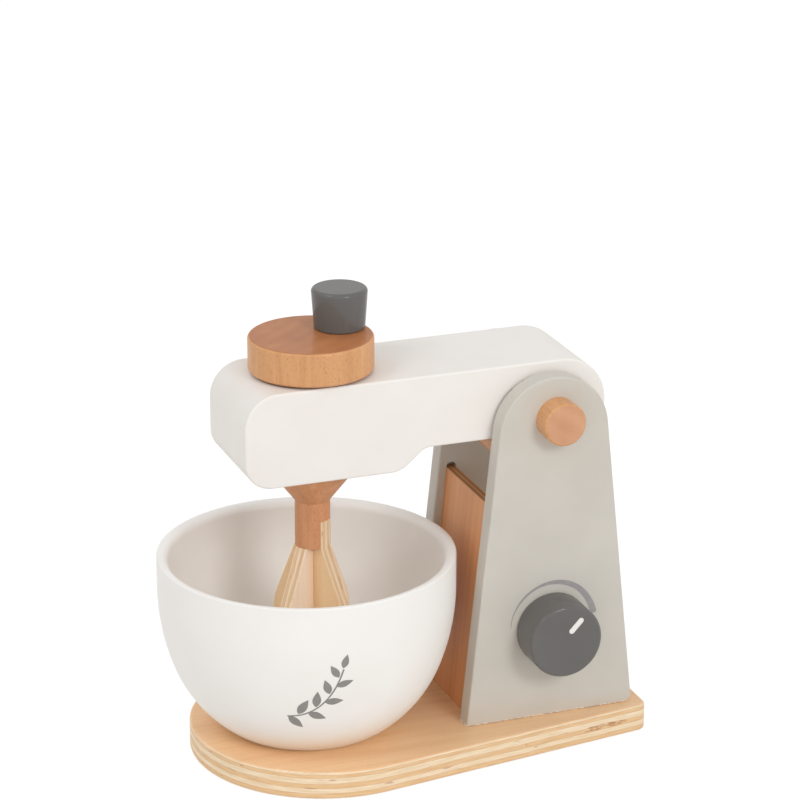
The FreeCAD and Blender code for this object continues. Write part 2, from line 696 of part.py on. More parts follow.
def bowl():
    """Turned bowl: a round belly, an upright wall and a lip that is eased on the inside."""
    body = new_body("bowl")
    sketch = new_sketch(body, "XZ_Plane", "bowl_profile")
    outer_round = size.lip_outer_round
    inner_round = size.lip_inner_round
    top = size.bowl_height
    wall_arc = size.bowl_wall_arc
    inner_arc = wall_arc - size.bowl_wall
    inner_radius = size.bowl_radius - size.bowl_wall
    arc_top = size.bowl_height - size.bowl_upright
    belly = size.bowl_belly_arc
    up = Vector(0, 0, 1)

    def point(x, y):
        return Vector(Size.of(x).value, Size.of(y).value, 0)

    def arc(centre, radius, start, end):
        """Arc run upwards, between two points near it."""
        circle = Part.Circle(centre, up, radius)
        return Part.ArcOfCircle(circle, circle.parameter(start), circle.parameter(end))

    def level_point(centre, radius, height):
        """Point of a circle about the centre, at a height, on its outer side."""
        rise = Size.of(height).value - centre.y
        return Vector(centre.x + math.sqrt(radius ** 2 - rise ** 2), Size.of(height).value, 0)

    wall_centre = point(size.bowl_radius - wall_arc, arc_top)
    change = level_point(wall_centre, wall_arc.value, arc_top - size.bowl_arc_change)
    to_centre = (wall_centre - change).normalize()
    belly_centre = change + to_centre * belly.value
    inner_belly = belly.value - size.bowl_wall.value
    foot_point = level_point(belly_centre, belly.value, 0)
    floor_point = level_point(belly_centre, inner_belly, size.bowl_floor)
    inner_change = change + to_centre * size.bowl_wall.value
    shapes = [
        Part.LineSegment(point(0, 0), foot_point),
        arc(belly_centre, belly.value, foot_point, change),
        arc(wall_centre, wall_arc.value, change, point(size.bowl_radius, arc_top)),
        Part.LineSegment(point(size.bowl_radius, arc_top), point(size.bowl_radius, top - outer_round)),
        arc(point(size.bowl_radius - outer_round, top - outer_round), outer_round.value,
            point(size.bowl_radius, top - outer_round), point(size.bowl_radius - outer_round, top)),
        Part.LineSegment(point(size.bowl_radius - outer_round, top), point(inner_radius + inner_round, top)),
        arc(point(inner_radius + inner_round, top - inner_round), inner_round.value,
            point(inner_radius + inner_round, top), point(inner_radius, top - inner_round)),
        Part.LineSegment(point(inner_radius, top - inner_round), point(inner_radius, arc_top)),
        arc(wall_centre, inner_arc.value, inner_change, point(inner_radius, arc_top)),
        arc(belly_centre, inner_belly, floor_point, inner_change),
        Part.LineSegment(floor_point, point(0, size.bowl_floor)),
        Part.LineSegment(point(0, size.bowl_floor), point(0, 0)),
    ]
    for shape in shapes:
        sketch.addGeometry(shape, False)
    join = Sketcher.Constraint
    hold(sketch, "DistanceX", 0, 1, zero)
    hold(sketch, "DistanceY", 0, 1, zero)
    sketch.addConstraint(join("Horizontal", 0))
    sketch.addConstraint(join("Coincident", 0, 2, 1, 1))
    sketch.addConstraint(join("Tangent", 1, 2, 2, 1))
    sketch.addConstraint(join("Tangent", 2, 2, 3, 1))
    sketch.addConstraint(join("Vertical", 3))
    sketch.addConstraint(join("Tangent", 3, 2, 4, 1))
    sketch.addConstraint(join("Tangent", 4, 2, 5, 1))
    sketch.addConstraint(join("Horizontal", 5))
    sketch.addConstraint(join("Tangent", 5, 2, 6, 1))
    sketch.addConstraint(join("Tangent", 6, 2, 7, 1))
    sketch.addConstraint(join("Vertical", 7))
    sketch.addConstraint(join("Tangent", 7, 2, 8, 2))
    sketch.addConstraint(join("Coincident", 8, 3, 2, 3))
    sketch.addConstraint(join("Tangent", 8, 1, 9, 2))
    sketch.addConstraint(join("Coincident", 9, 3, 1, 3))
    sketch.addConstraint(join("Coincident", 9, 1, 10, 1))
    sketch.addConstraint(join("Horizontal", 10))
    sketch.addConstraint(join("Coincident", 10, 2, 11, 1))
    sketch.addConstraint(join("Coincident", 11, 2, 0, 1))
    sketch.addConstraint(join("Vertical", 11))
    hold_radius(sketch, 1, belly)
    hold_radius(sketch, 2, wall_arc)
    hold(sketch, "DistanceX", 3, 1, size.bowl_radius)
    hold(sketch, "DistanceY", 3, 1, arc_top)
    hold(sketch, "DistanceY", 1, 2, arc_top - size.bowl_arc_change)
    hold(sketch, "DistanceY", 5, 1, top)
    hold_radius(sketch, 4, outer_round)
    hold(sketch, "DistanceX", 7, 1, inner_radius)
    hold_radius(sketch, 6, inner_round)
    hold(sketch, "DistanceY", 10, 1, size.bowl_floor)
    spin(body, sketch)
    dress(body, "Fillet", size.bowl_foot_round, lambda edge: at_level(edge, "Z", 0.0))
    place(body, x=bowl_place, z=size.base_thickness)


def panel_screws():
    """Countersunk screws driven up through the base into the panels."""
    screws = []
    head_depth = size.screw_head_radius - size.screw_radius
    for number, (x, y) in enumerate(screw_places, start=1):
        head = doc.addObject("Part::Cone", "screw_head_%d" % number)
        bind(head, "Radius1", size.screw_head_radius)
        bind(head, "Radius2", size.screw_radius)
        bind(head, "Height", head_depth)
        place(head, x=x, y=y, z=size.screw_recess)
        shank = doc.addObject("Part::Cylinder", "screw_shank_%d" % number)
        bind(shank, "Radius", size.screw_radius)
        bind(shank, "Height", size.screw_length - head_depth - size.screw_point)
        place(shank, x=x, y=y, z=size.screw_recess + head_depth)
        point = doc.addObject("Part::Cone", "screw_point_%d" % number)
        bind(point, "Radius1", size.screw_radius)
        point.Radius2 = 0
        bind(point, "Height", size.screw_point)
        place(point, x=x, y=y, z=screw_tip - size.screw_point)
        screw = doc.addObject("Part::MultiFuse", "screw_%d" % number)
        screw.Shapes = [head, shank, point]
        screw.Refine = True
        screws.append(screw)
    group = doc.addObject("Part::Compound", "panel_screws")
    group.Label = "panel_screws"
    group.Links = screws
    pieces.append(group)


base_plate()
side_panel("dial_side_panel", True)
side_panel("plain_side_panel", False)
spine_panel()
dowel_across("stop_dowel", size.stop_radius, size.panel_inner + size.stop_socket, stop_place, stop_height,
             size.dowel_chamfer)
dowel_across("pivot_dowel", size.pivot_radius, panel_outer + size.pivot_reach, pivot_place, pivot_height,
             size.dowel_chamfer)
pivot_washers()
head_arm()
crank()
drive_spindle()
collar_and_washers()
whisk_blade("long_whisk_blade", True, size.blade_angle)
whisk_blade("cross_whisk_blade", False, cross_blade_angle)
dial()
bowl()
panel_screws()
doc.recompute()

# Nothing is written until every object is sound.
for thing in doc.Objects:
    if "Invalid" in thing.State or "Error" in thing.State:
        raise RuntimeError("%s failed: %s" % (thing.Name, thing.State))
os.makedirs("parts", exist_ok=True)
for piece in pieces:
    shape = piece.Shape
    if shape.isNull() or not shape.isValid() or not shape.Solids:
        raise RuntimeError("%s has no sound solid" % piece.Label)
for piece in pieces:
    box = piece.Shape.BoundBox
    print("%-20s %8.1f mm3  x %.1f %.1f  y %.1f %.1f  z %.1f %.1f"
          % (piece.Label, piece.Shape.Volume, box.XMin, box.XMax, box.YMin, box.YMax, box.ZMin, box.ZMax))
    piece.Shape.exportStep("parts/%s.step" % piece.Label)
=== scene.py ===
"""Looks of the wooden toy stand mixer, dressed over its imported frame. Lengths are in metres."""
import json
import math

import bmesh
import bpy
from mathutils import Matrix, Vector
from mathutils.bvhtree import BVHTree


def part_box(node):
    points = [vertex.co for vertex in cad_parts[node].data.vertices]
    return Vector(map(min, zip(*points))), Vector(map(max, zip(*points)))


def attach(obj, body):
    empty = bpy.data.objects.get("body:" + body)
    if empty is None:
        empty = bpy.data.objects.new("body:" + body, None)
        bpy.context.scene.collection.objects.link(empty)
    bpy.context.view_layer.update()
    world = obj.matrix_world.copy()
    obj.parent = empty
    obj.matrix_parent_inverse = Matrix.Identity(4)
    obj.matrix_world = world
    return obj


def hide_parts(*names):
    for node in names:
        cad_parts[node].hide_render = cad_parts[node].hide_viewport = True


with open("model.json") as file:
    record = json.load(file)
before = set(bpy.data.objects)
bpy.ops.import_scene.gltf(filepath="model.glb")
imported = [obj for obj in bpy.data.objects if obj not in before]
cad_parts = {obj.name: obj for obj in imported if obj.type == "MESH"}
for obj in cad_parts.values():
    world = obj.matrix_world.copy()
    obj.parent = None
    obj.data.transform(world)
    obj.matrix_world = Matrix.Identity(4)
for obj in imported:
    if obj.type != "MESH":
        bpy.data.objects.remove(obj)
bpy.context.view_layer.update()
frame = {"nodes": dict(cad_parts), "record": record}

MM = 0.001

# Camera, fitted to the outlines in the photograph.
CAMERA_PLACE = Vector((-488.5, -1291.8, 653.4)) * MM
CAMERA_YAW = -20.57
CAMERA_PITCH = 19.64
FOCAL_PIXELS = 3275.0
FRAME_PIXELS = 800.0
SENSOR_WIDTH = 36.0

# Turns in degrees that carry the X axis onto the way the wood runs or the board is thick.
ALONG_X = (0.0, 0.0, 0.0)
ALONG_Y = (0.0, 0.0, 90.0)
ALONG_Z = (0.0, -90.0, 0.0)
BLADE_TURN = -60.6
SPINE_LEAN = math.degrees(math.atan2(10.2, 101.5))
UP_SPINE = (0.0, SPINE_LEAN - 90.0, 0.0)
THROUGH_SPINE = (0.0, SPINE_LEAN, 0.0)
THROUGH_LONG_BLADE = (0.0, 0.0, BLADE_TURN + 90.0)
THROUGH_CROSS_BLADE = (0.0, 0.0, BLADE_TURN + 180.0)

# Printed marks, measured from the photograph, in millimetres and degrees. A row of the scale's edge is
# its angle, its outer radius and its width. The pointer's ends are counted from the dial's middle.
PRINT_FILM = 0.06
PRINT_LIFT = 0.01
PRINT_MERGE = 0.001
SCALE_EDGE = [(173, 20.2, 0.25), (158, 20.8, 0.4), (146, 21.2, 0.7), (128, 21.8, 1.05), (113, 22.2, 1.2),
              (97, 22.7, 1.6), (79, 23.1, 2.2), (66, 23.2, 2.5), (52, 23.1, 2.7), (38, 22.8, 2.9),
              (25, 22.65, 3.0), (11, 22.6, 3.1)]
POINTER_START = (1.4, 4.1)
POINTER_END = (7.5, 10.5)
SCALE_STEPS = 76
SCALE_END_ROUND = 0.4
SCALE_END_ANGLE = 1.2
POINTER_WIDTH = 2.6
POINTER_END_STEPS = 10
SPRIG_HEADING = -106.5
SPRIG_HEIGHT = 52.0
SPRIG_AIM_HEIGHT = 80.0
SPRIG_SIZES = {
    "leaf_count": 9,
    "leaf_length": 9.5,
    "leaf_width": 4.2,
    "stem_width": 0.7,
    "stem_length": 24.0,
    "stem_bend": 6.0,
    "leaf_spread": math.radians(48),
}

# Screws under the base, in millimetres, and the cross in their heads, in head radii.
SCREW_HEAD_RADIUS = 4.0
SCREW_SHANK_RADIUS = 2.0
SCREW_LENGTH = 30.0
SCREW_POINT = 4.0
CROSS_REACH = 1.15
CROSS_WEB = 0.24
CROSS_DEPTH = 0.50

# Dressing of the nodes: corners nearer than the first are joined, and edges sharper than the last stay
# sharp. A worker eases some edges with sandpaper. Lengths are in millimetres.
NODE_MERGE = 0.002
FLAT_ANGLE = 0.2
SHARP_ANGLE = 32.0
EASED_EDGE = {"spine_panel": 0.3, "long_whisk_blade": 0.35, "cross_whisk_blade": 0.35}

# Light. A lamp's row is its heading from straight in front towards the right, its rise, its distance
# in metres, its size in metres and its power in watts.
LAMPS = {
    "key_lamp": (12.0, 29.0, 2.0, 0.55, 10.2),
    "left_lamp": (-76.0, 48.0, 2.0, 0.7, 5.5),
}
LAMP_AIM_HEIGHT = 90.0
WORLD_LIGHT = 0.68
FLOOR_COLOUR = "#EDEBE8"
FLOOR_SHADE = "#9A9998"
FLOOR_GLOW = 0.80
FLOOR_HALF_SIDE = 6.0
FLOOR_DROP = 0.2

RECORD = frame["record"]
BODY_OF = {name: body for body, names in RECORD["behaviour"]["bodies"].items() for name in names}
SLOT_OF = {part["node"]: part["material_slot"] for part in RECORD["subparts"]}


def middle_of(node):
    """Middle of a node's box."""
    low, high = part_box(node)
    return (low + high) / 2


def linear(code):
    """Turn an sRGB hex colour into the linear colour that a shader takes."""
    parts = [int(code[i:i + 2], 16) / 255 for i in (1, 3, 5)]
    return [c / 12.92 if c <= 0.04045 else ((c + 0.055) / 1.055) ** 2.4 for c in parts] + [1.0]


def outlet(source):
    """The socket by which a node gives its result. Anything else is given back."""
    if isinstance(source, bpy.types.Node):
        return next(socket for socket in source.outputs if socket.enabled)
    return source


def add(tree, kind, inputs=None, stops=None, **settings):
    """Add a node with its settings. An input that is a node or a socket is linked, any other is set."""
    made = tree.nodes.new(kind)
    for name, value in settings.items():
        setattr(made, name, value)
    for name, value in (inputs or {}).items():
        source = outlet(value)
        if isinstance(source, bpy.types.NodeSocket):
            tree.links.new(source, made.inputs[name])
        else:
            made.inputs[name].default_value = source
    for number, (place, code) in enumerate(stops or []):
        ends = made.color_ramp.elements
        stop = ends[number] if number < min(len(ends), 2) else ends.new(place)
        stop.position = place
        stop.color = linear(code)
    return made


def start_material(name, roughness, **constants):
    """New material, with the values that are the same all over set on its shader."""
    material = bpy.data.materials.new(name)
    material.use_nodes = True
    shader = material.node_tree.nodes["Principled BSDF"]
    shader.inputs["Roughness"].default_value = roughness
    for key, value in constants.items():
        shader.inputs[key.replace("_", " ")].default_value = value
    return material, material.node_tree, shader


def pattern_space(tree, cell_mm, turn=ALONG_X, middle=(0.0, 0.0, 0.0)):
    """Object coordinates from a middle, turned, and counted in cells of so many millimetres."""
    place = add(tree, "ShaderNodeTexCoord").outputs["Object"]
    return add(tree, "ShaderNodeMapping", {
        "Vector": place,
        "Location": middle,
        "Rotation": [math.radians(angle) for angle in turn],
        "Scale": [length * MM for length in cell_mm],
    }, vector_type="TEXTURE")


def facing(tree, turn, low, high):
    """0 where the surface looks across the turned X axis, 1 where it looks along it."""
    across = add(tree, "ShaderNodeMapping", {
        "Vector": add(tree, "ShaderNodeNewGeometry").outputs["True Normal"],
        "Rotation": [math.radians(angle) for angle in turn],
    }, vector_type="TEXTURE")
    along = add(tree, "ShaderNodeSeparateXYZ", {"Vector": across})
    size = add(tree, "ShaderNodeMath", {0: along}, operation="ABSOLUTE")
    return add(tree, "ShaderNodeMapRange", {"Value": size, "From Min": low, "From Max": high})


def finish_surface(tree, shader, colour, height, depth_mm, strength):
    """Give the shader its colour, and its relief by a height of 0 to 1 times a depth."""
    relief = add(tree, "ShaderNodeBump", {
        "Height": height, "Distance": depth_mm * MM, "Strength": strength})
    tree.links.new(outlet(colour), shader.inputs["Base Color"])
    tree.links.new(outlet(relief), shader.inputs["Normal"])


def long_grain(tree, grain, tones, streak_mm, fleck_share):
    """Wood seen along its grain: soft streaks, and pores as short brown dashes."""
    broad = add(tree, "ShaderNodeTexNoise", {
        "Vector": pattern_space(tree, (160.0, 11.0, 11.0), grain), "Scale": 1.0, "Detail": 2.0})
    fine = add(tree, "ShaderNodeTexNoise", {
        "Vector": pattern_space(tree, streak_mm, grain), "Scale": 1.0, "Detail": 4.0, "Roughness": 0.6,
        "Distortion": 0.2})
    both = add(tree, "ShaderNodeMix", {0: 0.55, 2: broad, 3: fine})
    streaks = add(tree, "ShaderNodeValToRGB", {"Fac": both},
                  [(0.32, tones[0]), (0.70, tones[2]), (0.50, tones[1])])
    # Pores about 1.5 mm long, drawn 0.4 mm wide so that they show.
    pores = add(tree, "ShaderNodeTexNoise", {
        "Vector": pattern_space(tree, (1.5, 0.4, 0.4), grain), "Scale": 1.0, "Detail": 1.0})
    dashes = add(tree, "ShaderNodeMapRange", {
        "Value": pores, "From Min": 0.62, "From Max": 0.74, "To Max": fleck_share})
    colour = add(tree, "ShaderNodeMix", {0: dashes, 6: streaks, 7: linear(tones[3])}, data_type="RGBA")
    return colour, fine


def end_grain(tree, grain, tones):
    """Sawn end of solid wood: mottling, faint wide rings whose heart lies off the piece, fine speckle."""
    mottle = add(tree, "ShaderNodeTexNoise", {
        "Vector": pattern_space(tree, (60.0, 12.0, 12.0), grain), "Scale": 1.0, "Detail": 3.0})
    rings = add(tree, "ShaderNodeTexWave", {
        "Vector": pattern_space(tree, (90.0, 8.0, 8.0), grain, (-0.11, 0.07, -0.09)), "Scale": 0.32,
        "Distortion": 1.6, "Detail": 2.0, "Detail Scale": 0.5}, wave_type="RINGS", rings_direction="X")
    speckle = add(tree, "ShaderNodeTexNoise", {
        "Vector": pattern_space(tree, (3.0, 0.5, 0.5), grain), "Scale": 1.0, "Detail": 2.0})
    soft = add(tree, "ShaderNodeMix", {0: 0.12, 2: mottle, 3: rings})
    both = add(tree, "ShaderNodeMix", {0: 0.35, 2: soft, 3: speckle})
    return add(tree, "ShaderNodeValToRGB", {"Fac": both},
               [(0.30, tones[0]), (0.68, tones[2]), (0.50, tones[1])])


def beech(name, grain, tones, ends):
    """Beech, turned, sanded and varnished: soft streaks with brown flecks, a satin gloss, darker ends."""
    material, tree, shader = start_material(name, 0.45, IOR=1.47, Specular_IOR_Level=0.2, Coat_Weight=0.15,
                                            Coat_Roughness=0.10)
    side, height = long_grain(tree, grain, tones, (26.0, 2.6, 2.6), 0.50)
    colour = add(tree, "ShaderNodeMix", {
        0: facing(tree, grain, 0.80, 0.92), 6: side, 7: end_grain(tree, grain, ends)}, data_type="RGBA")
    finish_surface(tree, shader, colour, height, 0.05, 0.30)
    return material


def plywood(name, node, grain, through, thickness_mm, layers, tones, knot=None):
    """Sanded plywood: a plain veneer face, and edges that show the crossed plies and their glue lines."""
    material, tree, shader = start_material(name, 0.50, IOR=1.46)
    face, height = long_grain(tree, grain, tones, (70.0, 2.6, 2.6), 0.22)
    middle = middle_of(node)
    # The plies wander by about an eighth of a millimetre along the edge.
    wander = add(tree, "ShaderNodeTexNoise", {
        "Vector": pattern_space(tree, (30.0, 22.0, 22.0), through), "Scale": 1.0, "Detail": 1.0})
    depth = add(tree, "ShaderNodeSeparateXYZ", {
        "Vector": pattern_space(tree, (thickness_mm, 1.0, 1.0), through, middle)})
    shift = add(tree, "ShaderNodeMapRange", {
        "Value": wander, "To Min": 0.5 - 0.16 / thickness_mm, "To Max": 0.5 + 0.16 / thickness_mm})
    level = add(tree, "ShaderNodeMath", {0: depth, 1: shift}, operation="ADD")
    plies = add(tree, "ShaderNodeValToRGB", {"Fac": level}, layers)
    fibre_lines = add(tree, "ShaderNodeTexNoise", {
        "Vector": pattern_space(tree, (0.7, 9.0, 9.0), through), "Scale": 1.0, "Detail": 3.0})
    shades = add(tree, "ShaderNodeValToRGB", {"Fac": fibre_lines}, [(0.30, "#F1E8DD"), (0.66, "#FFFFFF")])
    edge = add(tree, "ShaderNodeMix", {0: 1.0, 6: plies, 7: shades}, data_type="RGBA",
               blend_type="MULTIPLY")
    # Small gaps and knots in the inner plies, a few brown dashes about 8 mm long.
    gaps = add(tree, "ShaderNodeTexNoise", {
        "Vector": pattern_space(tree, (1.5, 9.0, 9.0), through), "Scale": 1.0, "Detail": 1.0})
    dashes = add(tree, "ShaderNodeMapRange", {
        "Value": gaps, "From Min": 0.71, "From Max": 0.76, "To Max": 0.45})
    if knot:
        # One stretch of the middle ply is patchy brown where a knot was cut.
        near = add(tree, "ShaderNodeVectorMath", {
            0: pattern_space(tree, knot["half_mm"], ALONG_X, knot["middle"])}, operation="LENGTH")
        reach = add(tree, "ShaderNodeMapRange", {
            "Value": near.outputs["Value"], "From Min": 1.0, "From Max": 0.75})
        patches = add(tree, "ShaderNodeTexNoise", {
            "Vector": pattern_space(tree, (4.0, 4.0, 1.1)), "Scale": 1.0, "Detail": 2.0})
        brown = add(tree, "ShaderNodeMapRange", {
            "Value": patches, "From Min": 0.44, "From Max": 0.58, "To Max": 0.70})
        held = add(tree, "ShaderNodeMath", {0: reach, 1: brown}, operation="MULTIPLY")
        dashes = add(tree, "ShaderNodeMath", {0: dashes, 1: held}, operation="MAXIMUM")
    marked = add(tree, "ShaderNodeMix", {0: dashes, 6: edge, 7: linear("#A3602E")}, data_type="RGBA")
    colour = add(tree, "ShaderNodeMix", {0: facing(tree, through, 0.55, 0.75), 6: marked, 7: face},
                 data_type="RGBA")
    finish_surface(tree, shader, colour, height, 0.05, 0.30)
    return material


def ply_layers(pale, tan, glue, shares, glue_share):
    """Stops across a board, from its underside up: plies in turn, each parted from the next by glue."""
    total = sum(shares)
    stops = []
    place = 0.0
    for number, share in enumerate(shares):
        code = tan if number % 2 else pale
        stops += [(place, code), (place + share / total - glue_share, code)]
        if number < len(shares) - 1:
            stops += [(place + share / total - glue_share * 0.6, glue)]
        place += share / total
    first, *between, last = stops
    return [first, last] + between


def paint(name, colour, shade, roughness, grain, **constants):
    """Water-based paint on wood: an even coat with a fine stipple, the grain just telling through."""
    material, tree, shader = start_material(name, roughness, IOR=1.5, **constants)
    cloud = add(tree, "ShaderNodeTexNoise", {
        "Vector": pattern_space(tree, (26.0, 26.0, 26.0)), "Scale": 1.0, "Detail": 2.0})
    tone = add(tree, "ShaderNodeValToRGB", {"Fac": cloud}, [(0.30, shade), (0.70, colour)])
    told = add(tree, "ShaderNodeTexNoise", {
        "Vector": pattern_space(tree, (40.0, 1.4, 1.4), grain), "Scale": 1.0, "Detail": 3.0})
    stipple = add(tree, "ShaderNodeTexNoise", {
        "Vector": pattern_space(tree, (0.6, 0.6, 0.6)), "Scale": 1.0, "Detail": 2.0})
    height = add(tree, "ShaderNodeMix", {0: 0.4, 2: told, 3: stipple})
    finish_surface(tree, shader, tone, height, 0.02, 0.45)
    gloss = add(tree, "ShaderNodeMapRange", {
        "Value": cloud, "To Min": roughness - 0.04, "To Max": roughness + 0.05})
    tree.links.new(outlet(gloss), shader.inputs["Roughness"])
    return material


def panel_paint(name):
    """Warm grey paint on the panels, with pale specks where glue and bare wood show at the foot."""
    material = paint(name, "#D1CCC3", "#CBC6BC", 0.52, ALONG_Z)
    tree = material.node_tree
    shader = tree.nodes["Principled BSDF"]
    coat = shader.inputs["Base Color"].links[0].from_socket
    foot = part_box("dial_side_panel")[0].z
    height = add(tree, "ShaderNodeSeparateXYZ", {
        "Vector": pattern_space(tree, (1.0, 1.0, 1.0), ALONG_X, (0.0, 0.0, foot))})
    near_foot = add(tree, "ShaderNodeMapRange", {
        "Value": height.outputs["Z"], "From Min": 1.1, "From Max": 0.5})
    # Specks about 2 mm long and half as high.
    specks = add(tree, "ShaderNodeTexNoise", {
        "Vector": pattern_space(tree, (2.0, 2.0, 1.0)), "Scale": 1.0, "Detail": 1.0})
    spots = add(tree, "ShaderNodeMapRange", {"Value": specks, "From Min": 0.50, "From Max": 0.54})
    share = add(tree, "ShaderNodeMath", {0: near_foot, 1: spots}, operation="MULTIPLY")
    worn = add(tree, "ShaderNodeMix", {0: share, 6: coat, 7: linear("#FFF6E8")}, data_type="RGBA")
    tree.links.new(outlet(worn), shader.inputs["Base Color"])
    return material


def steel(name):
    """Zinc-plated steel, cold-formed: bright bluish grey, faintly clouded."""
    material, tree, shader = start_material(name, 0.36, Metallic=1.0)
    cloud = add(tree, "ShaderNodeTexNoise", {
        "Vector": pattern_space(tree, (1.2, 1.2, 1.2)), "Scale": 1.0, "Detail": 3.0})
    tone = add(tree, "ShaderNodeValToRGB", {"Fac": cloud}, [(0.30, "#A9ABAD"), (0.70, "#C6C7C8")])
    finish_surface(tree, shader, tone, cloud, 0.01, 0.40)
    return material


def fibre(name):
    """Vulcanised fibre, punched from sheet: dark brown, dull, slightly mottled."""
    material, tree, shader = start_material(name, 0.70, IOR=1.5)
    mottle = add(tree, "ShaderNodeTexNoise", {
        "Vector": pattern_space(tree, (0.8, 0.8, 0.8)), "Scale": 1.0, "Detail": 3.0})
    tone = add(tree, "ShaderNodeValToRGB", {"Fac": mottle}, [(0.30, "#2B2622"), (0.70, "#3D3630")])
    finish_surface(tree, shader, tone, mottle, 0.03, 0.50)
    return material


def ink(name, colour, shade):
    """Pad-printed ink: flat and dry, a little uneven where the pad pressed less."""
    material, tree, shader = start_material(name, 0.60, IOR=1.45)
    press = add(tree, "ShaderNodeTexNoise", {
        "Vector": pattern_space(tree, (2.5, 2.5, 2.5)), "Scale": 1.0, "Detail": 4.0})
    tone = add(tree, "ShaderNodeValToRGB", {"Fac": press}, [(0.35, shade), (0.65, colour)])
    tree.links.new(outlet(tone), shader.inputs["Base Color"])
    return material


BEECH_TONES = ("#CF9767", "#DAA271", "#E3AD7C", "#8C5A34")
BEECH_ENDS = ("#AC6D44", "#B8774A", "#C28152")
SPINDLE_TONES = ("#CF9067", "#DC9D72", "#E6AB80", "#8F5735")
BASE_TONES = ("#EDBE8E", "#F5CA9C", "#FAD4AA", "#C8935F")
SPINE_TONES = ("#DD9A66", "#E6A570", "#EEB07C", "#A66C3E")
# The two blades are one plywood. The cross blade's paler tones are painted light from the left, and the long
# blade's darker, more orange tones are painted shade under the head.
SHADED_LONG_BLADE_TONES = ("#F3CA9C", "#FAD7AA", "#FEE0B8", "#C58C58")
LIT_CROSS_BLADE_TONES = ("#F8DAB8", "#FDE5CB", "#FFEDD9", "#CC9C6E")
BASE_LAYERS = ply_layers("#FBE7C8", "#F1CD9F", "#C08A5A", (1.0, 2.0, 2.4, 2.2, 2.8, 1.6, 1.0), 0.013)
BASE_KNOT = {"middle": (0.0795, -0.0470, 0.0068), "half_mm": (14.0, 10.0, 1.5)}
BLADE_LAYERS = ply_layers("#FBE4C6", "#EECCA4", "#CFA276", (0.8, 1.4, 1.6, 1.4, 0.8), 0.030)
SPINE_LAYERS = ply_layers("#D9A878", "#B57F4E", "#7C4B28", (0.7, 1.1, 1.2, 1.1, 0.7), 0.045)

MATERIALS = {
    "head_paint": paint("matt white paint on the head", "#F4F0EB", "#F1ECE6", 0.50, ALONG_X),
    "bowl_paint": paint("matt white paint on the bowl", "#F9F7F4", "#F7F4F0", 0.48, ALONG_X),
    "panel_paint": panel_paint("warm grey paint on the panels"),
    "knob_paint": paint("satin dark grey paint on the knobs", "#696765", "#646260", 0.50, ALONG_Z,
                        Specular_IOR_Level=0.15, Coat_Weight=0.40, Coat_Roughness=0.05),
    "upright_beech": beech("oiled beech with upright grain", ALONG_Z, BEECH_TONES, BEECH_ENDS),
    "cross_beech": beech("oiled beech dowel", ALONG_Y, BEECH_TONES, ("#CB9470", "#D49F7B", "#DDAB88")),
    "spindle_beech": beech("oiled beech of the spindle", ALONG_Z, SPINDLE_TONES, BEECH_ENDS),
    "base_plywood": plywood("birch plywood of the base", "base_plate", ALONG_X, ALONG_Z, 13.0, BASE_LAYERS,
                            BASE_TONES, BASE_KNOT),
    # Two copies of the one blade plywood: the first has painted shade, the second has painted light.
    "shaded_long_blade_plywood": plywood("plywood of the long blade with painted shade", "long_whisk_blade", ALONG_Z,
                                  THROUGH_LONG_BLADE, 6.0, BLADE_LAYERS, SHADED_LONG_BLADE_TONES),
    "lit_cross_blade_plywood": plywood("plywood of the cross blade with painted light", "cross_whisk_blade", ALONG_Z,
                                   THROUGH_CROSS_BLADE, 6.0, BLADE_LAYERS, LIT_CROSS_BLADE_TONES),
    "spine_plywood": plywood("oiled plywood of the slanted board", "spine_panel", UP_SPINE, THROUGH_SPINE,
                             4.8, SPINE_LAYERS, SPINE_TONES),
    "screw_steel": steel("zinc-plated steel"),
    "ring_fibre": fibre("vulcanised fibre"),
    "bowl_ink": ink("grey ink on the bowl", "#8B8986", "#94918E"),
    "scale_ink": ink("lilac grey ink on the panel", "#9E999B", "#A5A0A1"),
    "pointer_ink": ink("white ink on the dial", "#F2F0EC", "#E9E6E1"),
}

FINISH_OF = {
    "base_plate": "base_plywood",
    "dial_side_panel": "panel_paint",
    "plain_side_panel": "panel_paint",
    "spine_panel": "spine_plywood",
    "stop_dowel": "cross_beech",
    "pivot_dowel": "cross_beech",
    "dial_side_washer": "cross_beech",
    "plain_side_washer": "cross_beech",
    "head_arm": "head_paint",
    "upper_spin_washer": "ring_fibre",
    "crank_disc": "upright_beech",
    "crank_knob": "knob_paint",
    "crank_pin": "upright_beech",
    "drive_spindle": "spindle_beech",
    "spindle_collar": "spindle_beech",
    "lower_spin_washer": "ring_fibre",
    "long_whisk_blade": "shaded_long_blade_plywood",
    "cross_whisk_blade": "lit_cross_blade_plywood",
    "dial_knob": "knob_paint",
    "dial_axle": "cross_beech",
    "dial_retainer": "cross_beech",
    "bowl": "bowl_paint",
}


def new_piece(name, mesh, material):
    """Link a mesh to the scene as a piece in one material."""
    piece = bpy.data.objects.new(name, mesh)
    bpy.context.scene.collection.objects.link(piece)
    mesh.materials.clear()
    mesh.materials.append(material)
    return piece


def apply_modifiers(piece):
    """Put the worked-out mesh in place of the modifiers."""
    graph = bpy.context.evaluated_depsgraph_get()
    mesh = bpy.data.meshes.new_from_object(piece.evaluated_get(graph))
    piece.modifiers.clear()
    piece.data = mesh


def settle(piece, body, slot, *nodes):
    """Let a finished piece ride on its body and stand for its nodes. The slot it is given is not used."""
    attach(piece, body)
    if nodes:
        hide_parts(*nodes)


